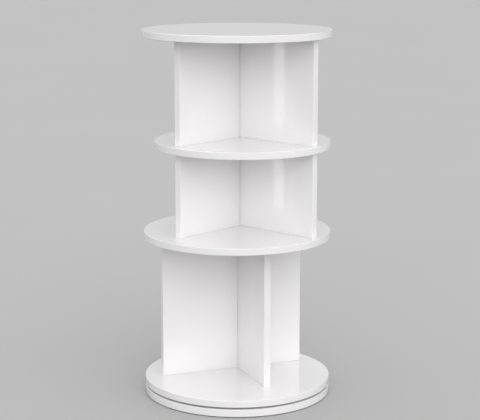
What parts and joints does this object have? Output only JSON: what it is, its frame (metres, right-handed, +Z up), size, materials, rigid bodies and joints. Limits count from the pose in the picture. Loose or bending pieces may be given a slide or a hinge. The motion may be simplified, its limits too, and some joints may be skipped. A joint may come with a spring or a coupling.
{
  "type": "rotating media tower",
  "caption": "Tall round shelf tower: open tiers between stacked discs and crossed divider panels, turning on a ball-bearing swivel over a fixed base disc.",
  "frame": {"origin": "on the floor under the turning axis, at the centre of the base's underside", "axes": "+Z up along the turning axis, +X and +Y along the divider panels of the two upper tiers"},
  "size_m": [0.3999, 0.4, 0.7825],
  "materials": {
    "white_gloss": "high gloss",
    "rubber": "matt",
    "aluminium": "turned",
    "bearing_steel": "polished",
    "cage_plastic": "matt",
    "screw_steel": "zinc plated",
    "pin_steel": "ground",
    "brass": "turned"
  },
  "bodies": {
    "base": {"base_disc": "white_gloss", "rubber_feet": "rubber", "bearing_lower_ring": "aluminium", "lower_ring_screws": "screw_steel"},
    "ball_set": {"bearing_balls": "bearing_steel", "ball_cage": "cage_plastic"},
    "tower": {"bottom_platter": "white_gloss", "lower_shelf": "white_gloss", "upper_shelf": "white_gloss", "top_disc": "white_gloss", "bottom_front_divider": "white_gloss", "bottom_long_divider": "white_gloss", "middle_right_divider": "white_gloss", "middle_left_divider": "white_gloss", "upper_right_divider": "white_gloss", "upper_left_divider": "white_gloss", "bearing_upper_ring": "aluminium", "upper_ring_screws": "screw_steel", "platter_screws": "screw_steel", "lower_shelf_pins_below": "pin_steel", "lower_shelf_pins_above": "pin_steel", "upper_shelf_pins": "pin_steel", "top_pins": "pin_steel", "divider_inserts": "brass"}
  },
  "joints": [
    {"name": "tower_spin", "type": "hinge", "parent": "base", "child": "tower", "pos_m": [0, 0, 0.017], "axis": [0, 0, 1], "continuous": true},
    {"name": "ball_spin", "type": "hinge", "parent": "base", "child": "ball_set", "pos_m": [0, 0, 0.017], "axis": [0, 0, 1], "continuous": true}
  ],
  "couplings": [
    {"joint": "ball_spin", "follows": "tower_spin", "ratio": 0.49088}
  ]
}
